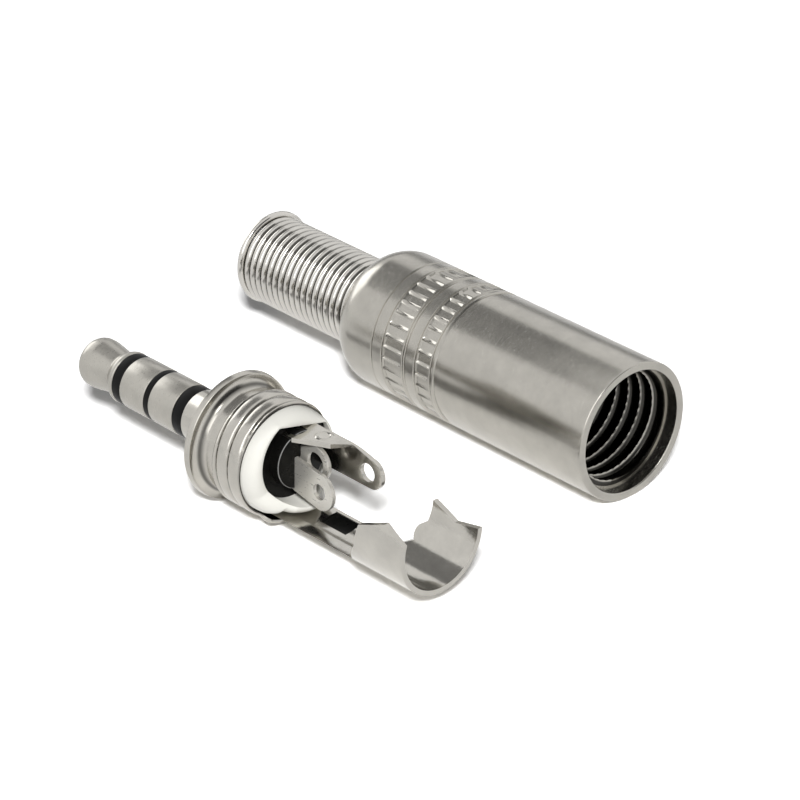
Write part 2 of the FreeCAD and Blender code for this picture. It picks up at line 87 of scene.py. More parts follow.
# Boss thread, lower at both ends, and the seat of the white shell inside it.
THREAD_START = 1.95
THREAD_END = SLEEVE_HIGH.x - 0.2
THREAD_ROWS = 64
THREAD_RADIUS = 3.82
THREAD_PITCH = 1.05
THREAD_PHASE = 0.45
THREAD_DEPTH = 0.26
THREAD_SHARPNESS = 8
GROOVE_SLOPE_SHARE = 0.2
GROOVE_RUN_OUT = 0.25
LEAD_IN = 0.3
LEAD_IN_OFFSET = 0.02
LEAD_IN_DROP = 0.25
LEAD_OUT = 0.2
LEAD_OUT_DROP = 0.18
SEAT_RADIUS = 3.58
SEAT_START = 2.3
SEAT_EDGE = 0.06

# Lip of the boss that bulges over the clamp's root, its angles in degrees from straight down. Each
# row has a share of its length, the height over the seat beside it, and a share of its rise.
LIP_HALF_ANGLE = 36
LIP_FADE = 10
LIP_LENGTH = 0.75
LIP_RISE = 0.3
LIP_ROWS = (
    (0.15, 0.1, 1.0), (0.75, 0.1, 1.0), (0.95, 0.08, 0.85), (1.0, 0.05, 0.6), (0.95, 0.02, 0.35),
)

# White shell: its hollow lies above the pin's axis and is flat at the top, and its bottom runs
# out into a tongue. Angles are about the axis, from +Y towards +Z.
SHELL_FACE = 5.55
HOLLOW_CENTRE = (0.2, 0.5)
HOLLOW_RADIUS = 2.83
FLAT_DISTANCE = 2.61
FLAT_ANGLE = 77.2
TONGUE_OUTLINE = ((205, 0.0), (236, 0.75), (250, 1.2), (281, 1.5), (300, 0.8), (320, 0.0))

# Its outside over the channel of the clamp's strip: degrees from straight down, and radii.
CHANNEL_RADIUS = 2.97
CHANNEL_HALF_ANGLE = 32
CHANNEL_OUTLINE = (
    (CHANNEL_HALF_ANGLE, CHANNEL_RADIUS), (CHANNEL_HALF_ANGLE + 2, CHANNEL_RADIUS + 0.36),
    (40, 3.48), (52, SEAT_RADIUS - 0.01),
)

# Its domed edge, which follows the tongue's outline in part.
EDGE_STEPS = 12
EDGE_START = THREAD_END - 0.15
EDGE_FOLLOWS_TONGUE = 0.8
EDGE_FULLNESS = 0.8
EDGE_LAND = 0.07
EDGE_CORNER = 0.02
EDGE_CORNER_DEPTH = 0.09
LEAST_WALL = 0.1

# Black mouldings in the hollow. The core's edge carries a pale ring, a painted highlight: places
# from its face, and radii from the core's.
MOULDING_HOLE = 0.3
FILLER_FACE = 5.1
FILLER_OVERLAP = 0.03
CORE_FACE = 5.9
CORE_RADIUS = 1.93
CORE_EDGE = ((-0.03, -0.05), (-0.03, -0.01), (0.01, -0.03), (0.01, -0.06))

# Ring pressed into the upper lug's plate: place, and its radii with heights over the plate.
LUG_RING_PLACE = (7.15, 0.95)
LUG_RING_PROFILE = ((0.62, -0.01), (0.52, 0.05), (0.44, 0.05), (0.34, -0.01))

# Black sheet under the clamp's window: painted shade that stands for the deep shadow there.
WINDOW_START = 7.75
WINDOW_LENGTH = 2.4
WINDOW_WIDTH = 1.45
SHADOW_SHEET_RADII = (3.2, 3.28)

# Cover, measured from its rear end.
NECK_RADIUS = 3.1
DOME_FACE_RADIUS = 3.3
DOME_LENGTH = 2.2
DOME_ROUNDING = 2.3
SCORE_PLACES = (4.25, 5.2, 7.15, 7.35, 8.25, 9.72)
SCORE_HALF_WIDTH = 0.09
SCORE_DEPTH = 0.09
KNURLED_BANDS = ((5.35, 7.0), (8.4, 9.6))
NOTCHES = 36
NOTCH_DEPTH = 0.09
NOTCH_SLOPE = 0.12
NOTCH_RUN_OUT = 0.07
RIB_SHARE = 0.2
WIDE_GROOVE = (9.95, 10.5)
WIDE_GROOVE_DEPTH = 0.1
WIDE_GROOVE_SLOPE = 0.08
MOUTH_RADIUS = 4.1
MOUTH_DEPTH = 1.0
INNER_THREAD_RADIUS = 3.9
INNER_THREAD_LENGTH = 5.5
INNER_THREAD_ROWS = 215
INNER_THREAD_SHARPNESS = 5
INNER_CREST = 0.3
BORE_RADIUS = 3.6
COVER_NECK_LENGTH = 1.2

# Spring: a close-wound round wire. The coil's half side is the model's, with its square wire.
WIRE_RADIUS = 0.265
SPRING_RADIUS = 2.78
SPRING_PITCH = 0.56
INNER_FLARE = 0.32
OUTER_FLARE = 0.3
COIL_HALF_SIDE = 0.235


def smooth(mesh, degrees=35):
    """Shade a mesh smooth, apart from edges sharper than the angle."""
    for polygon in mesh.polygons:
        polygon.use_smooth = True
    mesh.set_sharp_from_angle(angle=math.radians(degrees))


def weighted_normals(mesh, degrees=35):
    """Normals that keep wide faces flat and bend over the narrow ones between them."""
    normals = [polygon.normal.copy() for polygon in mesh.polygons]
    areas = [polygon.area for polygon in mesh.polygons]
    around = {}
    for polygon in mesh.polygons:
        for vertex in polygon.vertices:
            around.setdefault(vertex, []).append(polygon.index)
    least = math.cos(math.radians(degrees))
    result = []
    for polygon in mesh.polygons:
        own = normals[polygon.index]
        for vertex in polygon.vertices:
            total = Vector((0, 0, 0))
            for other in around[vertex]:
                if normals[other].dot(own) > least:
                    total += normals[other] * areas[other]
            result.append(total.normalized() if total.length > 0 else own)
    mesh.normals_split_custom_set(result)


def add_object(name, mesh, material, body="plug", nodes=()):
    """Piece of one material that rides on a body and may stand for nodes of the model."""
    mesh.materials.clear()
    mesh.materials.append(material)
    piece = bpy.data.objects.new(name, mesh)
    bpy.context.scene.collection.objects.link(piece)
    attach(piece, body)
    if nodes:
        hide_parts(*nodes)


def eased(points, size, steps=3):
    """The profile with its corners rounded off; a point with a third entry of True stays sharp.

    A rounding takes at most 0.45 of the way to the next point.
    """
    result = [points[0][:2]]
    for before, here, after in zip(points, points[1:], points[2:]):
        if len(here) > 2:
            result.append(here[:2])
            continue
        corner = Vector(here[:2])
        to_before = Vector(before[:2]) - corner
        to_after = Vector(after[:2]) - corner
        cut_before = min(size, 0.45 * to_before.length)
        cut_after = min(size, 0.45 * to_after.length)
        start = corner + to_before.normalized() * cut_before
        end = corner + to_after.normalized() * cut_after
        for step in range(steps + 1):
            t = step / steps
            result.append(tuple(start * (1 - t) ** 2 + corner * 2 * t * (1 - t) + end * t ** 2))
    result.append(points[-1][:2])
    return result


def arc(start, end, radius, side, steps=10):
    """Points of the minor arc between two profile points, its centre left or right of the way."""
    start, end = Vector(start), Vector(end)
    chord = end - start
    turn = 1 if side == "left" else -1
    normal = Vector((-chord.y, chord.x)).normalized() * turn
    centre = (start + end) / 2 + normal * math.sqrt(radius ** 2 - chord.length_squared / 4)
    first = math.atan2(start.y - centre.y, start.x - centre.x)
    last = math.atan2(end.y - centre.y, end.x - centre.x)
    sweep = (last - first + math.pi) % (2 * math.pi) - math.pi
    return [
        (centre.x + radius * math.cos(first + sweep * k / steps),
         centre.y + radius * math.sin(first + sweep * k / steps), True)
        for k in range(steps + 1)
    ]


def lathe(name, profile, axis=PLUG_AXIS, segments=128, closed=True, x_start=0.0):
    """Mesh turned about a line along X.

    The profile lists places along X with radii, and either may be a function of the angle.
    """
    angles = np.linspace(0, 2 * math.pi, segments, endpoint=False)
    loops = []
    for place, radius in profile:
        places, radii = (
            entry(angles) if callable(entry) else np.full(segments, float(entry))
            for entry in (place, radius)
        )
        loops.append(np.stack([
            places + x_start,
            axis[0] + radii * np.cos(angles),
            axis[1] + radii * np.sin(angles),
        ], axis=1))
    vertices = np.concatenate(loops) * MM
    faces = []
    count = len(profile)
    for row in range(count if closed else count - 1):
        this, following = row * segments, (row + 1) % count * segments
        for k in range(segments):
            beside = (k + 1) % segments
            faces.append((this + k, this + beside, following + beside, following + k))
    mesh = bpy.data.meshes.new(name)
    mesh.from_pydata(vertices.tolist(), [], faces)
    tidy = bmesh.new()
    tidy.from_mesh(mesh)
    bmesh.ops.remove_doubles(tidy, verts=tidy.verts, dist=1e-7)
    bmesh.ops.recalc_face_normals(tidy, faces=tidy.faces)
    tidy.to_mesh(mesh)
    tidy.free()
    smooth(mesh)
    return mesh


def softened(name, node, width, degrees=25):
    """Copy of a node's mesh with its edges rounded."""
    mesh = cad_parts[node].data.copy()
    mesh.name = name
    work = bmesh.new()
    work.from_mesh(mesh)
    bmesh.ops.remove_doubles(work, verts=work.verts, dist=2e-6)
    bmesh.ops.dissolve_limit(work, angle_limit=math.radians(1.5), verts=work.verts,
                             edges=work.edges)
    sharp = [
        edge for edge in work.edges
        if len(edge.link_faces) == 2 and edge.calc_face_angle() > math.radians(degrees)
    ]
    bmesh.ops.bevel(work, geom=sharp, offset=width * MM, segments=2, profile=0.5,
                    affect="EDGES", clamp_overlap=True)
    work.to_mesh(mesh)
    work.free()
    for polygon in mesh.polygons:
        polygon.use_smooth = True
    weighted_normals(mesh)
    return mesh


# Most values of a noise lie between these.
NOISE_LOW = 0.3
NOISE_HIGH = 0.7


class Nodes:
    """Short way to lay out the nodes of a material."""

    def __init__(self, name, material=None):
        self.material = material or bpy.data.materials.new(name)
        self.material.use_nodes = True
        self.tree = self.material.node_tree
        self.shader = self.tree.nodes["Principled BSDF"]
        self.place = self.tree.nodes.new("ShaderNodeTexCoord").outputs["Object"]

    def add(self, kind, **settings):
        node = self.tree.nodes.new(kind)
        for key, setting in settings.items():
            setattr(node, key, setting)
        return node

    def link(self, start, end):
        self.tree.links.new(start, end)

    def noise(self, scale, stretch=(1, 1, 1), detail=4.0, roughness=0.6):
        mapping = self.add("ShaderNodeMapping")
        mapping.inputs["Scale"].default_value = [scale * s for s in stretch]
        self.link(self.place, mapping.inputs["Vector"])
        noise = self.add("ShaderNodeTexNoise")
        noise.inputs["Scale"].default_value = 1.0
        noise.inputs["Detail"].default_value = detail
        noise.inputs["Roughness"].default_value = roughness
        self.link(mapping.outputs["Vector"], noise.inputs["Vector"])
        return noise.outputs["Fac"]

    def ramp(self, factor, low, high):
        """A colour that runs from low to high with a noise."""
        ramp = self.add("ShaderNodeValToRGB")
        ramp.color_ramp.elements[0].position = NOISE_LOW
        ramp.color_ramp.elements[1].position = NOISE_HIGH
        ramp.color_ramp.elements[0].color = low
        ramp.color_ramp.elements[1].color = high
        self.link(factor, ramp.inputs["Fac"])
        return ramp.outputs["Color"]

    def spread(self, factor, low, high):
        """A number that runs from low to high with a noise."""
        mapped = self.add("ShaderNodeMapRange")
        mapped.inputs["From Min"].default_value = NOISE_LOW
        mapped.inputs["From Max"].default_value = NOISE_HIGH
        mapped.inputs["To Min"].default_value = low
        mapped.inputs["To Max"].default_value = high
        self.link(factor, mapped.inputs["Value"])
        return mapped.outputs["Result"]

    def bump(self, height, strength, distance, below=None):
        bump = self.add("ShaderNodeBump")
        bump.inputs["Strength"].default_value = strength
        bump.inputs["Distance"].default_value = distance
        self.link(height, bump.inputs["Height"])
        if below is not None:
            self.link(below, bump.inputs["Normal"])
        return bump.outputs["Normal"]


NICKEL_TONE = (0.48, 0.462, 0.42)


def nickel(name, rough, grain, grain_scale, grain_depth, tone=NICKEL_TONE, dent_depth=0.15,
           metallic=1.0):
    """Nickel plate: warm grey, faintly stained, with fine marks drawn out along the grain."""
    nodes = Nodes(name)
    shader = nodes.shader
    shader.inputs["Metallic"].default_value = metallic
    stain = nodes.noise(700, detail=5)
    dull = [channel * 0.86 for channel in tone] + [1]
    nodes.link(nodes.ramp(stain, dull, (*tone, 1)), shader.inputs["Base Color"])
    marks = nodes.noise(grain_scale, grain, detail=6, roughness=0.7)
    nodes.link(nodes.spread(marks, rough * 0.8, rough * 1.3), shader.inputs["Roughness"])
    ripple = nodes.bump(nodes.noise(900, detail=3), dent_depth, 0.00002)
    nodes.link(nodes.bump(marks, grain_depth, 0.000006, ripple), shader.inputs["Normal"])
    return nodes.material


def shaded_by_radius(material, axis, low, high, stops):
    """Darken grooves that light hardly reaches.

    Each stop has a share of the way from the low to the high radius about an axis, and a shade.
    """
    nodes = Nodes(material.name, material)
    colour = nodes.shader.inputs["Base Color"]
    plated = colour.links[0].from_socket
    apart = nodes.add("ShaderNodeSeparateXYZ")
    nodes.link(nodes.place, apart.inputs[0])
    squares = []
    for side, centre in (("Y", axis[0]), ("Z", axis[1])):
        off = nodes.add("ShaderNodeMath", operation="SUBTRACT")
        nodes.link(apart.outputs[side], off.inputs[0])
        off.inputs[1].default_value = centre * MM
        square = nodes.add("ShaderNodeMath", operation="MULTIPLY")
        nodes.link(off.outputs[0], square.inputs[0])
        nodes.link(off.outputs[0], square.inputs[1])
        squares.append(square)
    total = nodes.add("ShaderNodeMath", operation="ADD")
    nodes.link(squares[0].outputs[0], total.inputs[0])
    nodes.link(squares[1].outputs[0], total.inputs[1])
    radius = nodes.add("ShaderNodeMath", operation="SQRT")
    nodes.link(total.outputs[0], radius.inputs[0])
    share = nodes.add("ShaderNodeMapRange")
    nodes.link(radius.outputs[0], share.inputs["Value"])
    share.inputs["From Min"].default_value = low * MM
    share.inputs["From Max"].default_value = high * MM
    ramp = nodes.add("ShaderNodeValToRGB")
    elements = ramp.color_ramp.elements
    elements[0].position, elements[1].position = stops[0][0], stops[-1][0]
    for element, (_, shade) in zip(elements, (stops[0], stops[-1])):
        element.color = (shade, shade, shade, 1)
    for position, shade in stops[1:-1]:
        elements.new(position).color = (shade, shade, shade, 1)
    nodes.link(share.outputs["Result"], ramp.inputs["Fac"])
    dark = nodes.add("ShaderNodeMix", data_type="RGBA", blend_type="MULTIPLY")
    dark.inputs["Factor"].default_value = 1.0
    # A Mix node's colour sockets share their names with others, so they are taken by number.
    nodes.link(plated, dark.inputs[6])
    nodes.link(ramp.outputs["Color"], dark.inputs[7])
    nodes.link(dark.outputs[2], colour)


def plastic(name, low, high, rough, speck_depth, gloss=0.5):
    """Moulded plastic whose colour runs from low to high in patches, its gloss slightly uneven."""
    nodes = Nodes(name)
    shader = nodes.shader
    patches = nodes.noise(500, detail=4)
    nodes.link(nodes.ramp(patches, (*low, 1), (*high, 1)), shader.inputs["Base Color"])
    specks = nodes.noise(6000, detail=5)
    nodes.link(nodes.spread(specks, rough * 0.85, rough * 1.25), shader.inputs["Roughness"])
    nodes.link(nodes.bump(specks, speck_depth, 0.00001), shader.inputs["Normal"])
    shader.inputs["Specular IOR Level"].default_value = gloss
    return nodes.material


# Grain: how often the fine marks change along X, Y and Z.
TURNED = (3, 0.5, 0.5)
BRUSHED = (3, 0.4, 0.4)
ROLLED = (0.6, 2, 2)
EVEN = (1, 1, 1)

NICKEL_PIN = nickel("nickel_pin", rough=0.3, grain=TURNED, grain_scale=6000, grain_depth=0.2)
NICKEL_BODY = nickel("nickel_body", rough=0.2, grain=TURNED, grain_scale=6000, grain_depth=0.15,
                     tone=(0.54, 0.52, 0.475))
NICKEL_SHEET = nickel("nickel_sheet", rough=0.14, grain=ROLLED, grain_scale=4000, grain_depth=0.2,
                      tone=(0.56, 0.54, 0.495), dent_depth=0.6)
NICKEL_COVER = nickel("nickel_cover", rough=0.22, grain=BRUSHED, grain_scale=7000,
                      grain_depth=0.35)
NICKEL_WIRE = nickel("nickel_wire", rough=0.15, grain=EVEN, grain_scale=5000, grain_depth=0.1,
                     tone=(0.66, 0.64, 0.6))
shaded_by_radius(
    NICKEL_COVER, COVER_AXIS, INNER_THREAD_RADIUS - INNER_CREST, INNER_THREAD_RADIUS + 0.1,
    ((0.0, 0.05), (0.01, 0.9), (0.16, 0.9), (0.35, 0.12), (0.93, 0.1), (1.0, 1.0)))
shaded_by_radius(
    NICKEL_BODY, PLUG_AXIS, THREAD_RADIUS - 0.4, THREAD_RADIUS,
    ((0.0, 1.0), (0.2, 0.5), (0.35, 0.25), (0.5, 0.3), (0.8, 1.0)))
shaded_by_radius(
    NICKEL_WIRE, COVER_AXIS, SPRING_RADIUS, SPRING_RADIUS + WIRE_RADIUS,
    ((0.0, 0.15), (0.35, 0.25), (0.7, 1.0)))
# Tinned for soldering: duller than nickel.
TINNED_LUG = nickel("tinned_lug", rough=0.3, grain=ROLLED, grain_scale=3000, grain_depth=0.05,
                    tone=(0.66, 0.64, 0.59), metallic=0.6)
BLACK_BAND = plastic("black_band", low=(0.003, 0.003, 0.003), high=(0.006, 0.006, 0.006),
                     rough=0.35, speck_depth=0.05, gloss=0.1)
BLACK_PLASTIC = plastic("black_plastic", low=(0.002, 0.002, 0.002), high=(0.006, 0.006, 0.005),
                        rough=0.3, speck_depth=0.05, gloss=0.15)
# Pale grey for the ring on the black core's edge: a painted highlight.
PAINTED_HIGHLIGHT_EDGE = plastic("painted_highlight_edge", low=(0.08, 0.08, 0.08), high=(0.3, 0.3, 0.29), rough=0.3,
                    speck_depth=0.05)
WHITE_PLASTIC = plastic("white_plastic", low=(0.84, 0.83, 0.77), high=(0.88, 0.87, 0.81),
                        rough=0.35, speck_depth=0.1, gloss=0.3)


def build_pin():
    """Tip, rings and bands, each turned with its edges eased."""
    nose_radius, nose_offset, nose_rounding = 1.66, 1.3, 0.9
    neck_radius, neck_offset, flare_offset = 1.38, 0.85, 0.35
    front = TIP_LOW.x
    nose = arc((front, nose_radius - nose_rounding), (front + nose_rounding, nose_radius),
               nose_rounding, "right", 14)
    neck = [
        (front + nose_offset, nose_radius),
        (BAND_1_FRONT - neck_offset, neck_radius),
        (BAND_1_FRONT - flare_offset, PIN_RADIUS),
        (BAND_1_FRONT, PIN_RADIUS),
        (BAND_1_FRONT, PIN_CORE),
    ]
    tip = eased([(front, 0.0)] + nose + neck, size=0.12, steps=4)
    add_object("tip", lathe("tip", tip, closed=False), NICKEL_PIN,
               nodes=["tip_contact"])
    bands = (
        ("band_1", BAND_1_FRONT, RING_1_FRONT, BLACK_BAND, "black_bands", "band_1_insulator"),
        ("ring_1", RING_1_FRONT, BAND_2_FRONT, NICKEL_PIN, "nickel_contacts", "ring_1_contact"),
        ("band_2", BAND_2_FRONT, RING_2_FRONT, BLACK_BAND, "black_bands", "band_2_insulator"),
        ("ring_2", RING_2_FRONT, BAND_3_FRONT, NICKEL_PIN, "nickel_contacts", "ring_2_contact"),
        ("band_3", BAND_3_FRONT, SLEEVE_FRONT, BLACK_BAND, "black_bands", "band_3_insulator"),
    )
    for name, start, end, material, slot, node in bands:
        radius = PIN_RADIUS - (BAND_RELIEF if material is BLACK_BAND else 0)
        ring = eased([(start, PIN_CORE), (start, radius), (end, radius), (end, PIN_CORE)],
                     size=0.05)
        add_object(name, lathe(name, ring), material, nodes=[node])


def thread_groove(x, start, radius, depth, sharpness):
    """Radius of a thread at a distance along X, as a function of the angle.

    It falls short of the full radius by up to the depth, and the sharper it is, the narrower is
    the deep part: a groove of the boss, or a crest inside the cover.
    """
    def radius_at(angles):
        turn = (x - start) / THREAD_PITCH - angles / (2 * math.pi)
        inside = 1 - np.abs(2 * (turn - np.floor(turn)) - 1)
        slope = GROOVE_SLOPE_SHARE * inside ** 2
        return radius - depth * (slope + (1 - GROOVE_SLOPE_SHARE) * inside ** sharpness)
    return radius_at


def lip_share(angles):
    """How far the lip of the boss is out at an angle, from 0 beside it to 1 at its middle."""
    below = np.degrees(np.abs(angles - 1.5 * math.pi))
    share = np.clip((LIP_HALF_ANGLE - below) / LIP_FADE, 0, 1)
    return share * share * (3 - 2 * share)


def lip_row(reach, height, rise):
    """Profile point of the lip, from a row of LIP_ROWS."""
    return (
        lambda angles: THREAD_END + LIP_LENGTH * reach * lip_share(angles),
        lambda angles: SEAT_RADIUS + height + LIP_RISE * rise * lip_share(angles),
    )


def build_sleeve():
    """Sleeve contact, flange and threaded boss in one piece."""
    profile = eased(
        [
            (SLEEVE_FRONT, PIN_CORE),
            (SLEEVE_FRONT, PIN_RADIUS),
            (0.0, PIN_RADIUS),
            (0.0, FLANGE_RADIUS),
            (FLANGE_WIDTH, FLANGE_RADIUS - FLANGE_SLOPE),
        ]
        + arc((FLANGE_WIDTH, UNDERCUT_RADIUS + UNDERCUT_FILLET),
              (FLANGE_WIDTH + UNDERCUT_FILLET, UNDERCUT_RADIUS), UNDERCUT_FILLET, "left")
        + [(THREAD_START - UNDERCUT_LAND, UNDERCUT_RADIUS)],
        size=0.07)
    for row in range(THREAD_ROWS + 1):
        x = THREAD_START + (THREAD_END - THREAD_START) * row / THREAD_ROWS
        rise = min(1.0, (x - THREAD_START + LEAD_IN_OFFSET) / LEAD_IN)
        fall = min(1.0, (THREAD_END - x) / LEAD_OUT)
        top = THREAD_RADIUS - LEAD_IN_DROP * (1 - rise) ** 2 - LEAD_OUT_DROP * (1 - fall) ** 2
        depth = THREAD_DEPTH * min(1.0, (THREAD_END - x) / GROOVE_RUN_OUT)
        groove = thread_groove(x, THREAD_START + THREAD_PHASE, top, depth, THREAD_SHARPNESS)
        profile.append((x, groove))
    profile += [lip_row(*row) for row in LIP_ROWS]
    profile += [
        (THREAD_END - SEAT_EDGE, SEAT_RADIUS), (SEAT_START, SEAT_RADIUS), (SEAT_START, PIN_CORE),
    ]
    add_object("sleeve", lathe("sleeve", profile, segments=192), NICKEL_BODY,
               nodes=["sleeve_body"])


def notched(share):
    """Outer radius of a knurled band, its notches cut to a share of their depth."""
    def radius_at(angles):
        turn = angles / (2 * math.pi) * NOTCHES
        from_middle = np.abs(2 * (turn - np.floor(turn)) - 1)
        notch = np.clip((1 - RIB_SHARE - from_middle) / NOTCH_SLOPE + 0.5, 0, 1)
        return COVER_RADIUS - NOTCH_DEPTH * notch * share
    return radius_at


def build_cover():
    """Barrel with its domed rear, scored and knurled bands, and the thread inside its mouth."""
    length = COVER_HIGH.x - COVER_LOW.x
    dome = arc((0.0, DOME_FACE_RADIUS), (DOME_LENGTH, COVER_RADIUS), DOME_ROUNDING, "right", 16)
    outside = [(0.0, NECK_RADIUS)] + dome
    marks = []
    for place in SCORE_PLACES:
        marks += [
            (place - SCORE_HALF_WIDTH, COVER_RADIUS),
            (place - SCORE_HALF_WIDTH / 3, COVER_RADIUS - SCORE_DEPTH),
            (place + SCORE_HALF_WIDTH / 3, COVER_RADIUS - SCORE_DEPTH),
            (place + SCORE_HALF_WIDTH, COVER_RADIUS),
        ]
    for start, end in KNURLED_BANDS:
        marks += [
            (start, notched(0)), (start + NOTCH_RUN_OUT, notched(1)),
            (end - NOTCH_RUN_OUT, notched(1)), (end, notched(0)),
        ]
    start, end = WIDE_GROOVE
    marks += [
        (start, COVER_RADIUS),
        (start + WIDE_GROOVE_SLOPE, COVER_RADIUS - WIDE_GROOVE_DEPTH),
        (end - WIDE_GROOVE_SLOPE, COVER_RADIUS - WIDE_GROOVE_DEPTH),
        (end, COVER_RADIUS),
    ]
    marks.sort(key=lambda mark: mark[0])
    mouth_start = length - MOUTH_DEPTH
    thread_start = mouth_start - INNER_THREAD_LENGTH
    behind_groove, bore_start = end + 0.5, thread_start - 0.05
    rim = eased(
        [(behind_groove, COVER_RADIUS), (length, COVER_RADIUS), (length, MOUTH_RADIUS),
         (mouth_start, MOUTH_RADIUS)], size=0.14, steps=4)
    inside = []
    for row in range(INNER_THREAD_ROWS + 1):
        x = mouth_start - INNER_THREAD_LENGTH * row / INNER_THREAD_ROWS
        inside.append((x, thread_groove(x, thread_start, INNER_THREAD_RADIUS, INNER_CREST,
                                        INNER_THREAD_SHARPNESS)))
    rear = eased(
        [(bore_start, BORE_RADIUS), (COVER_NECK_LENGTH, BORE_RADIUS),
         (COVER_NECK_LENGTH, NECK_RADIUS), (0.0, NECK_RADIUS)], size=0.08)
    profile = [point[:2] for point in outside + marks] + rim + inside + rear[:-1]
    mesh = lathe("cover_shell", profile, COVER_AXIS, 8 * NOTCHES, x_start=COVER_LOW.x)
    add_object("cover_shell", mesh, NICKEL_COVER, nodes=["cover"])


def build_spring():
    """Close-wound round wire, its first and last turns opened a little."""
    sides, steps_per_turn = 14, 60
    span = SPRING_HIGH.x - SPRING_LOW.x - 2 * COIL_HALF_SIDE
    turns = span / SPRING_PITCH
    start_x = SPRING_LOW.x + COIL_HALF_SIDE
    steps = int(round(turns * steps_per_turn))
    around = np.linspace(0, 2 * math.pi, sides, endpoint=False)
    vertices = []
    for step in range(steps + 1):
        turn = turns * step / steps
        angle = 2 * math.pi * (turn - 1)
        radius = SPRING_RADIUS + OUTER_FLARE * max(0.0, 1 - turn)
        radius += INNER_FLARE * max(0.0, turn - (turns - 1))
        x = start_x + SPRING_PITCH * turn
        for a in around:
            reach = radius + WIRE_RADIUS * math.sin(a)
            vertices.append((
                (x + WIRE_RADIUS * math.cos(a)) * MM,
                (COVER_AXIS[0] + reach * math.cos(angle)) * MM,
                (COVER_AXIS[1] + reach * math.sin(angle)) * MM,
            ))
    faces = [tuple(range(sides)), tuple(steps * sides + k for k in reversed(range(sides)))]
    for step in range(steps):
        for k in range(sides):
            beside = (k + 1) % sides
            faces.append((step * sides + k, (step + 1) * sides + k, (step + 1) * sides + beside,
                          step * sides + beside))
    mesh = bpy.data.meshes.new("spring_wire")
    mesh.from_pydata(vertices, [], faces)
    smooth(mesh, 50)
    add_object("spring_wire", mesh, NICKEL_WIRE, "spring", ["bend_relief_spring"])


def hollow(angles):
    """Distance from the axis to the wall of the white shell's hollow."""
    along = HOLLOW_CENTRE[0] * np.cos(angles) + HOLLOW_CENTRE[1] * np.sin(angles)
    off_axis = HOLLOW_CENTRE[0] ** 2 + HOLLOW_CENTRE[1] ** 2
    circle = along + np.sqrt(along ** 2 - off_axis + HOLLOW_RADIUS ** 2)
    # Where the flat doesn't face an angle, it is put far outside the circle.
    facing = np.maximum(np.cos(angles - math.radians(FLAT_ANGLE)), 0.05)
    return np.minimum(circle, FLAT_DISTANCE / facing)


def shell_outside(angles):
    """Outer radius of the white shell, less where the clamp's strip passes under it."""
    degrees, radii = zip(*CHANNEL_OUTLINE)
    return np.interp(np.degrees(np.abs(angles - 1.5 * math.pi)), degrees, radii)


def shell_end(angles):
    """Where the white shell ends, further back along its tongue."""
    degrees, reach = zip(*TONGUE_OUTLINE)
    return SHELL_FACE + np.interp(np.degrees(angles), degrees, reach)


def domed_edge(share):
    """Profile point of the white shell's edge, from its outside at 0 to the hollow at 1."""
    turn = share * math.pi / 2

    def place(angles):
        end = shell_end(angles)
        start = EDGE_START + (end - SHELL_FACE) * EDGE_FOLLOWS_TONGUE
        return start + (end - start) * math.sin(turn)

    def radius(angles):
        inner = hollow(angles) + EDGE_LAND
        wall = np.maximum(shell_outside(angles), inner + LEAST_WALL) - inner
        return inner + wall * math.cos(turn) ** EDGE_FULLNESS

    return place, radius


def build_insulators():
    """White shell with a domed edge, and the two black mouldings in it."""
    shell = [(SEAT_START, shell_outside)]
    shell += [domed_edge(step / EDGE_STEPS) for step in range(EDGE_STEPS + 1)]
    shell += [
        (lambda angles: shell_end(angles) - EDGE_CORNER,
         lambda angles: hollow(angles) + EDGE_CORNER),
        (lambda angles: shell_end(angles) - EDGE_CORNER_DEPTH, hollow),
        (FILLER_FACE, hollow),
        (SEAT_START, hollow),
    ]
    add_object("white_shell", lathe("white_shell", shell, segments=240), WHITE_PLASTIC,
               nodes=["white_insulator"])

    def filler_outside(angles):
        return hollow(angles) + FILLER_OVERLAP

    filler = [
        (SEAT_START, filler_outside),
        (FILLER_FACE, filler_outside),
        (FILLER_FACE, MOULDING_HOLE),
        (SEAT_START, MOULDING_HOLE),
    ]
    add_object("black_filler", lathe("black_filler", filler, segments=240), BLACK_PLASTIC,
               nodes=["filler_insulator"])
    # The pale ring on the core's edge is a painted highlight.
    edge = [(CORE_FACE + place, CORE_RADIUS + radius) for place, radius in CORE_EDGE]
    add_object("core_edge", lathe("core_edge", edge, HOLLOW_CENTRE), PAINTED_HIGHLIGHT_EDGE)
    core = eased([(SEAT_START, MOULDING_HOLE), (SEAT_START, CORE_RADIUS),
                  (CORE_FACE, CORE_RADIUS), (CORE_FACE, MOULDING_HOLE)], size=0.09, steps=5)
    add_object("black_core", lathe("black_core", core, HOLLOW_CENTRE), BLACK_PLASTIC,
               nodes=["core_insulator"])


def build_stampings():
    """Solder lugs and clamp, with the edges of the stamping eased."""
    rows = (
        ("lug_upper", "upper_lug", 0.05, NICKEL_SHEET),
        ("lug_middle", "middle_lug", 0.05, TINNED_LUG),
        ("lug_lower", "lower_lug", 0.05, TINNED_LUG),
        ("clamp", "cable_clamp", 0.06, NICKEL_SHEET),
    )
    for name, node, width, material in rows:
        add_object(name, softened(name, node, width), material,
                   nodes=[node])


def build_lug_ring():
    """Ring pressed into the upper lug's plate."""
    sides = 48
    centre = Vector((*LUG_RING_PLACE, extent("upper_lug")[1].z))
    vertices = [
        (centre + Vector((radius * math.cos(a), radius * math.sin(a), height))) * MM
        for radius, height in LUG_RING_PROFILE
        for a in np.linspace(0, 2 * math.pi, sides, endpoint=False)
    ]
    faces = []
    for row in range(len(LUG_RING_PROFILE) - 1):
        this, following = row * sides, (row + 1) * sides
        for k in range(sides):
            beside = (k + 1) % sides
            faces.append((this + k, this + beside, following + beside, following + k))
    mesh = bpy.data.meshes.new("lug_ring")
    mesh.from_pydata(vertices, [], faces)
    smooth(mesh, 60)
    add_object("lug_ring", mesh, NICKEL_SHEET)


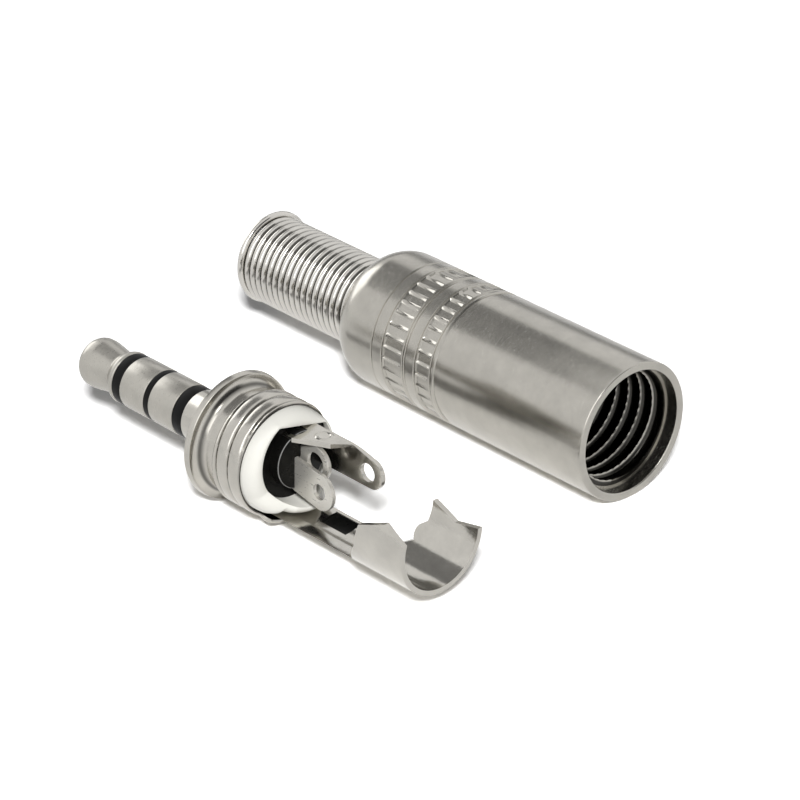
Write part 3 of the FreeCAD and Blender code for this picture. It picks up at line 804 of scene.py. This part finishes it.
def build_window_shadow_sheet():
    """Curved black sheet seen through the clamp's window: painted shade for the shadow under it.
    """
    steps = 8
    vertices = []
    for radius in SHADOW_SHEET_RADII:
        for x in (WINDOW_START, WINDOW_START + WINDOW_LENGTH):
            for k in range(steps + 1):
                y = WINDOW_WIDTH * k / steps
                vertices.append((x * MM, y * MM, -math.sqrt(radius ** 2 - y ** 2) * MM))
    row = steps + 1
    faces = []
    for k in range(steps):
        faces.append((k, k + 1, row + k + 1, row + k))
        faces.append((2 * row + k, 3 * row + k, 3 * row + k + 1, 2 * row + k + 1))
        faces.append((k, 2 * row + k, 2 * row + k + 1, k + 1))
        faces.append((row + k, row + k + 1, 3 * row + k + 1, 3 * row + k))
    faces += [(0, row, 3 * row, 2 * row), (steps, 2 * row + steps, 3 * row + steps, row + steps)]
    mesh = bpy.data.meshes.new("window_shadow_sheet")
    mesh.from_pydata(vertices, [], faces)
    smooth(mesh, 30)
    # A black sheet that stands for shadow: painted shade.
    add_object("window_shadow_sheet", mesh, BLACK_PLASTIC)


build_pin()
build_sleeve()
build_cover()
build_spring()
build_insulators()
build_stampings()
build_lug_ring()
build_window_shadow_sheet()


def seen_share(tree, *rays):
    """Output that is 1 for the given kinds of ray and 0 for the others."""
    path = tree.nodes.new("ShaderNodeLightPath")
    output = path.outputs[rays[0]]
    for ray in rays[1:]:
        either = tree.nodes.new("ShaderNodeMath")
        either.operation = "MAXIMUM"
        tree.links.new(output, either.inputs[0])
        tree.links.new(path.outputs[ray], either.inputs[1])
        output = either.outputs[0]
    return output


def ranged(tree, factor, low, high):
    """Number that is low where the factor is 0 and high where it is 1."""
    mapped = tree.nodes.new("ShaderNodeMapRange")
    mapped.inputs["To Min"].default_value = low
    mapped.inputs["To Max"].default_value = high
    tree.links.new(factor, mapped.inputs["Value"])
    return mapped.outputs["Result"]


# Shades of the floor for plain light, for the camera and for reflections.
FLOOR_PLAIN = 0.8
FLOOR_SEEN = 1.85
FLOOR_MIRRORED = 1.28
FLOOR_SIDE = 3.0
WORLD_LIGHT = 0.1


def build_stage():
    """White floor that keeps the shadows, and a world that is white only where it is seen."""
    bpy.ops.mesh.primitive_plane_add(size=FLOOR_SIDE, location=(0, 0, FLOOR * MM))
    floor = bpy.context.object
    floor.name = "floor"
    material = bpy.data.materials.new("floor")
    material.use_nodes = True
    tree = material.node_tree
    tree.nodes.remove(tree.nodes["Principled BSDF"])
    shader = tree.nodes.new("ShaderNodeBsdfDiffuse")
    tree.links.new(shader.outputs[0], tree.nodes["Material Output"].inputs["Surface"])
    seen = seen_share(tree, "Is Camera Ray", "Is Transmission Ray")
    mirrored = seen_share(tree, "Is Glossy Ray")
    total = tree.nodes.new("ShaderNodeMath")
    total.operation = "ADD"
    tree.links.new(ranged(tree, seen, FLOOR_PLAIN, FLOOR_SEEN), total.inputs[0])
    tree.links.new(ranged(tree, mirrored, 0.0, FLOOR_MIRRORED - FLOOR_PLAIN), total.inputs[1])
    tree.links.new(total.outputs[0], shader.inputs["Color"])
    floor.data.materials.append(material)

    world = bpy.data.worlds.new("studio")
    bpy.context.scene.world = world
    world.use_nodes = True
    tree = world.node_tree
    background = tree.nodes["Background"]
    background.inputs["Color"].default_value = (1, 1, 1, 1)
    seen = seen_share(tree, "Is Camera Ray", "Is Transmission Ray", "Is Glossy Ray")
    tree.links.new(ranged(tree, seen, WORLD_LIGHT, 1.0), background.inputs["Strength"])


def direction(azimuth, elevation):
    """Unit vector at an azimuth, 0 towards -Y and 90 towards +X, and an elevation."""
    azimuth, elevation = math.radians(azimuth), math.radians(elevation)
    return Vector((
        math.sin(azimuth) * math.cos(elevation),
        -math.cos(azimuth) * math.cos(elevation),
        math.sin(elevation),
    ))


# The lamp and the panels face this place. Their rows give azimuth, elevation, distance, size,
# and the lamp's power or the panel's shade.
STUDIO_CENTRE = Vector((3, 8, 0))
KEY_LAMP = (46, 40, 1500, 230, 21.5)
PANELS = {
    "ceiling": (-94, 50, 220, (190, 90), 0.25),
    "back": (225, 12, 260, (260, 60), 0.3),
    "ceiling_right": (98, 46, 220, (230, 150), 0.12),
    "softbox_left": (-90, 24, 200, (120, 120), 2.6),
    "softbox_front": (8, 34, 240, (150, 150), 2.6),
    "spark": (32, 58, 240, (60, 60), 10.0),
}


def area_light(name, azimuth, elevation, distance, size, power):
    """Soft lamp that lights the plain surfaces; the metal shows the panels instead."""
    light = bpy.data.lights.new(name, "AREA")
    light.shape = "SQUARE"
    light.size = size * MM
    light.energy = power
    lamp = bpy.data.objects.new(name, light)
    bpy.context.scene.collection.objects.link(lamp)
    away = direction(azimuth, elevation)
    lamp.location = (STUDIO_CENTRE + away * distance) * MM
    lamp.rotation_mode = "QUATERNION"
    lamp.rotation_quaternion = (-away).to_track_quat("-Z", "Y")
    lamp.visible_glossy = False


def panel(name, azimuth, elevation, distance, size, shade):
    """Studio panel of an even shade that only reflections show."""
    away = direction(azimuth, elevation)
    turn = (-away).to_track_quat("-Z", "Y")
    half = [side / 2 for side in size]
    corners = [
        STUDIO_CENTRE + away * distance + turn @ Vector((half[0] * across, half[1] * up, 0))
        for across, up in ((-1, -1), (1, -1), (1, 1), (-1, 1))
    ]
    mesh = bpy.data.meshes.new(name)
    mesh.from_pydata([corner * MM for corner in corners], [], [(0, 1, 2, 3)])
    material = bpy.data.materials.new(name)
    material.use_nodes = True
    tree = material.node_tree
    tree.nodes.remove(tree.nodes["Principled BSDF"])
    glow = tree.nodes.new("ShaderNodeEmission")
    glow.inputs["Color"].default_value = (1, 1, 1, 1)
    glow.inputs["Strength"].default_value = shade
    tree.links.new(glow.outputs[0], tree.nodes["Material Output"].inputs["Surface"])
    mesh.materials.append(material)
    board = bpy.data.objects.new(name, mesh)
    bpy.context.scene.collection.objects.link(board)
    board.visible_camera = False
    board.visible_shadow = False
    board.visible_diffuse = False
    board.visible_transmission = False


# Camera fitted to the photograph, angles in degrees.
CAMERA_AZIMUTH = 46.40
CAMERA_ELEVATION = 27.56
CAMERA_ROLL = 0.87
CAMERA_DISTANCE = 244.45
CAMERA_TARGET = (8.22, 6.27, 3.40)
IMAGE_SIDE = 800
FOCAL_PIXELS = 3971


def build_camera():
    """Camera that sees the target as the photograph does."""
    away = direction(CAMERA_AZIMUTH, CAMERA_ELEVATION)
    data = bpy.data.cameras.new("camera")
    data.sensor_width = 36
    data.lens = FOCAL_PIXELS / IMAGE_SIDE * data.sensor_width
    data.clip_start = 0.01
    camera = bpy.data.objects.new("camera", data)
    bpy.context.scene.collection.objects.link(camera)
    camera.location = (Vector(CAMERA_TARGET) + away * CAMERA_DISTANCE) * MM
    camera.rotation_mode = "QUATERNION"
    roll = Quaternion((0, 0, 1), math.radians(CAMERA_ROLL))
    camera.rotation_quaternion = (-away).to_track_quat("-Z", "Y") @ roll
    bpy.context.scene.camera = camera


build_stage()
area_light("key", *KEY_LAMP)
for board_name, row in PANELS.items():
    panel(board_name, *row)
build_camera()

bpy.context.scene.view_settings.view_transform = "Standard"
